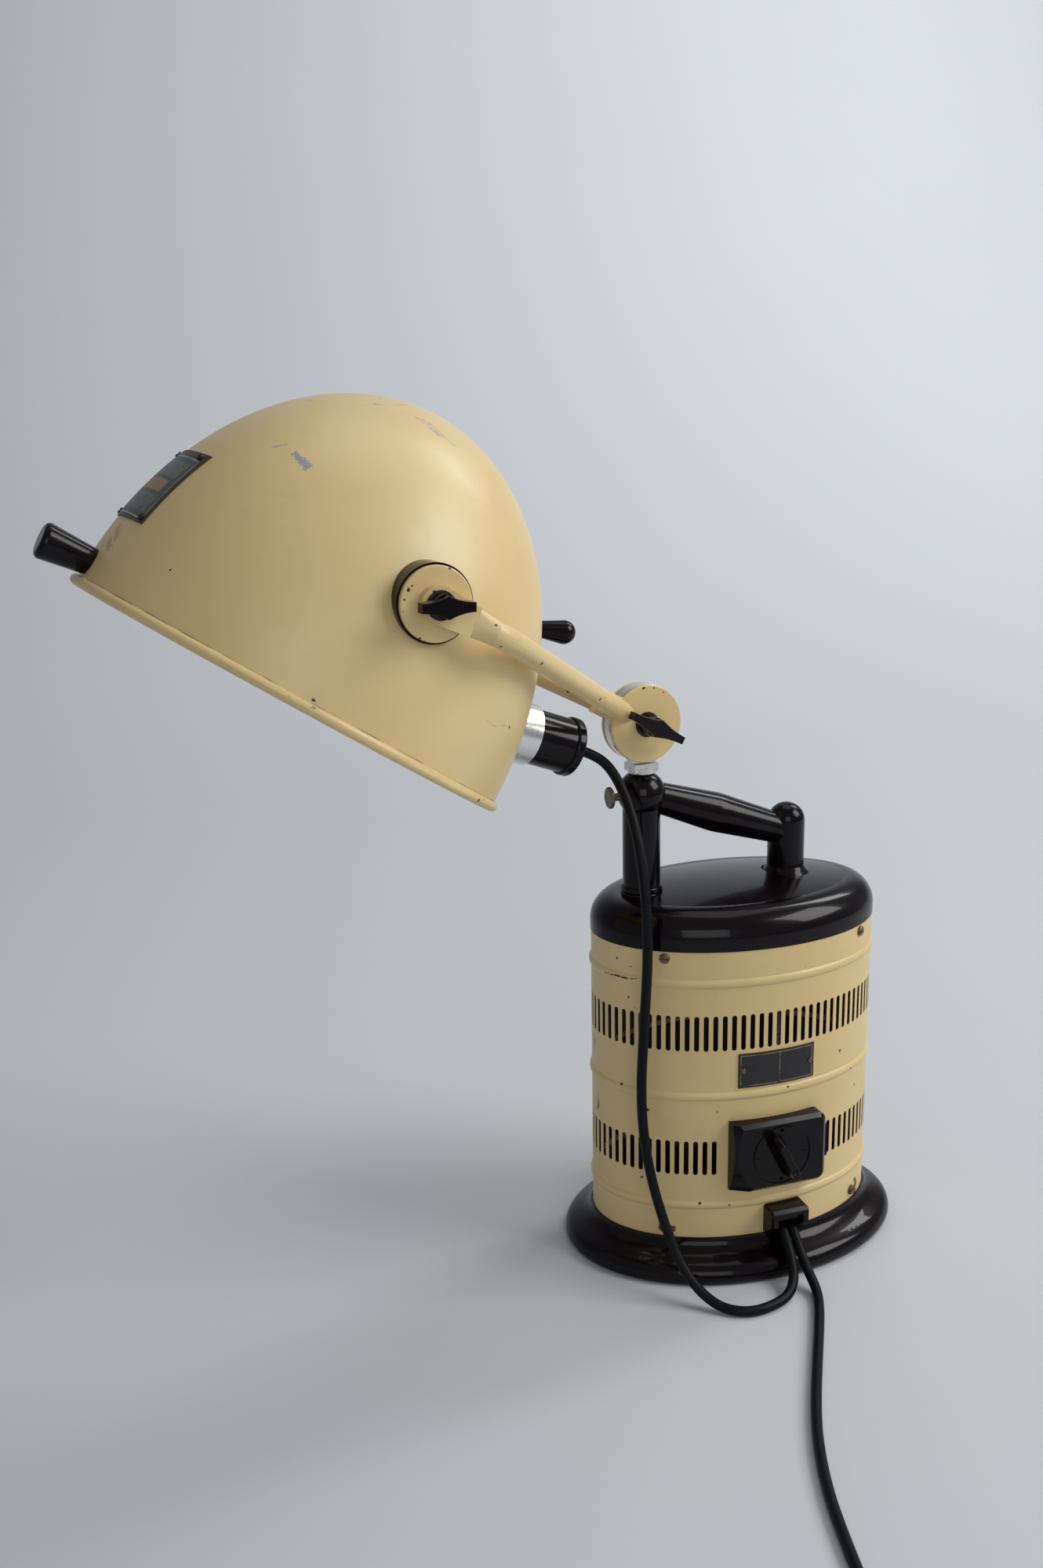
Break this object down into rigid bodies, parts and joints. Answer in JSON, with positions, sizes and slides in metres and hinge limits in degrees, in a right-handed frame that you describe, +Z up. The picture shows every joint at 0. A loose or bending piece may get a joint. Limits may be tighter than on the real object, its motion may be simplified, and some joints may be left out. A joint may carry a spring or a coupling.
{
  "type": "ultraviolet sun lamp",
  "caption": "Table sun lamp: egg-shaped tilting hood on a forked arm, over a slotted oval ballast base with carry handle, rotary switch and coiled mains lead",
  "frame": {"origin": "centre of the oval foot, on the floor it stands on", "axes": "+Z up; +X along the base's long axis, from the front column that carries the head to the rear column of the handle; +Y to the back, away from the switch side"},
  "size_m": [0.5401, 0.5544, 0.5667],
  "materials": {
    "cream_enamel": "old gloss enamel, chipped to dark metal in places",
    "bakelite": "glossy dark brown moulding",
    "nickel": "nickel plate, slightly dulled",
    "alloy": "satin cast and turned alloy",
    "steel": "bright steel",
    "bronze": "aged bronze screws",
    "brass": "brass",
    "name_face": "black filled plate with a bright border",
    "badge_face": "plain dark plate",
    "cord_rubber": "matt black rubber sheath",
    "ceramic": "glazed white ceramic",
    "quartz": "clear fused quartz",
    "laminations": "varnished iron laminations",
    "copper_coil": "varnished copper winding",
    "grey_plate": "plain grey sheet"
  },
  "bodies": {
    "base": {"vent_shell": "cream_enamel", "foot_ring": "bakelite", "bottom_plate": "grey_plate", "plate_screws": "steel", "top_cap": "bakelite", "shell_screws": "bronze", "front_column": "bakelite", "column_ball": "bakelite", "rear_column": "bakelite", "handle_grip": "bakelite", "handle_stud": "steel", "tie_rods": "steel", "tie_nuts": "steel", "switch_plate": "bakelite", "switch_body": "ceramic", "name_plate": "name_face", "name_rivets": "brass", "inlet_block": "bakelite", "choke_core": "laminations", "choke_coil": "copper_coil", "choke_strap": "steel", "strap_screws": "steel", "terminal_block": "ceramic", "terminal_screws": "brass", "head_cord": "cord_rubber", "mains_cord": "cord_rubber", "mains_coil": "cord_rubber", "mains_plug": "cord_rubber", "plug_pins": "nickel"},
    "thumb_screw": {"thumb_screw": "nickel"},
    "switch_knob": {"switch_knob": "bakelite"},
    "knuckle": {"knuckle": "alloy", "friction_washers": "steel"},
    "fork": {"fork_arm_near": "cream_enamel", "fork_arm_far": "cream_enamel", "pivot_disc_near": "cream_enamel", "pivot_disc_far": "cream_enamel", "pivot_washers": "nickel", "joint_bolt": "nickel"},
    "joint_wing": {"joint_wing_knob": "bakelite"},
    "hood": {"hood_shell": "cream_enamel", "cross_shaft": "steel", "pivot_drum_near": "bakelite", "pivot_drum_far": "bakelite", "front_grip": "bakelite", "grip_screw": "steel", "badge_plate": "badge_face", "badge_screws": "brass", "socket_sleeve": "nickel", "socket_body": "bakelite", "reflector_dish": "alloy", "dish_stud": "steel"},
    "pivot_wing_near": {"pivot_wing_near": "bakelite"},
    "pivot_wing_far": {"pivot_wing_far": "bakelite"},
    "burner": {"burner_yoke": "steel", "lever_knob": "bakelite", "burner_clips": "ceramic", "quartz_burner": "quartz", "burner_electrodes": "nickel"}
  },
  "joints": [
    {"name": "head_swivel", "type": "hinge", "parent": "base", "child": "knuckle", "pos_m": [-0.066, 0, 0.3295], "axis": [0, 0, 1], "range_deg": [-75, 75], "deforming": ["head_cord"]},
    {"name": "arm_tilt", "type": "hinge", "parent": "knuckle", "child": "fork", "pos_m": [-0.066, 0, 0.3618], "axis": [-0.1106, 0.9939, 0], "range_deg": [-26, 61]},
    {"name": "hood_tilt", "type": "hinge", "parent": "fork", "child": "hood", "pos_m": [-0.25104, -0.02059, 0.46445], "axis": [-0.1106, 0.9939, 0], "range_deg": [-2, 80]},
    {"name": "joint_wing_turn", "type": "hinge", "parent": "fork", "child": "joint_wing", "pos_m": [-0.066, 0, 0.3618], "axis": [0.1106, -0.9939, 0], "range_deg": [-180, 0]},
    {"name": "pivot_wing_near_turn", "type": "hinge", "parent": "hood", "child": "pivot_wing_near", "pos_m": [-0.25104, -0.02059, 0.46445], "axis": [0.1106, -0.9939, 0], "range_deg": [-180, 0]},
    {"name": "pivot_wing_far_turn", "type": "hinge", "parent": "hood", "child": "pivot_wing_far", "pos_m": [-0.25104, -0.02059, 0.46445], "axis": [-0.1106, 0.9939, 0], "range_deg": [0, 180]},
    {"name": "burner_rock", "type": "hinge", "parent": "hood", "child": "burner", "pos_m": [-0.25104, -0.02059, 0.46445], "axis": [-0.1106, 0.9939, 0], "range_deg": [-9, 9]},
    {"name": "thumb_screw_turn", "type": "hinge", "parent": "base", "child": "thumb_screw", "pos_m": [-0.08, 0, 0.3144], "axis": [-1, 0, 0], "range_deg": [-180, 0]},
    {"name": "switch_turn", "type": "hinge", "parent": "base", "child": "switch_knob", "pos_m": [0.0016, -0.073, 0.084], "axis": [0, -1, 0], "continuous": true}
  ]
}
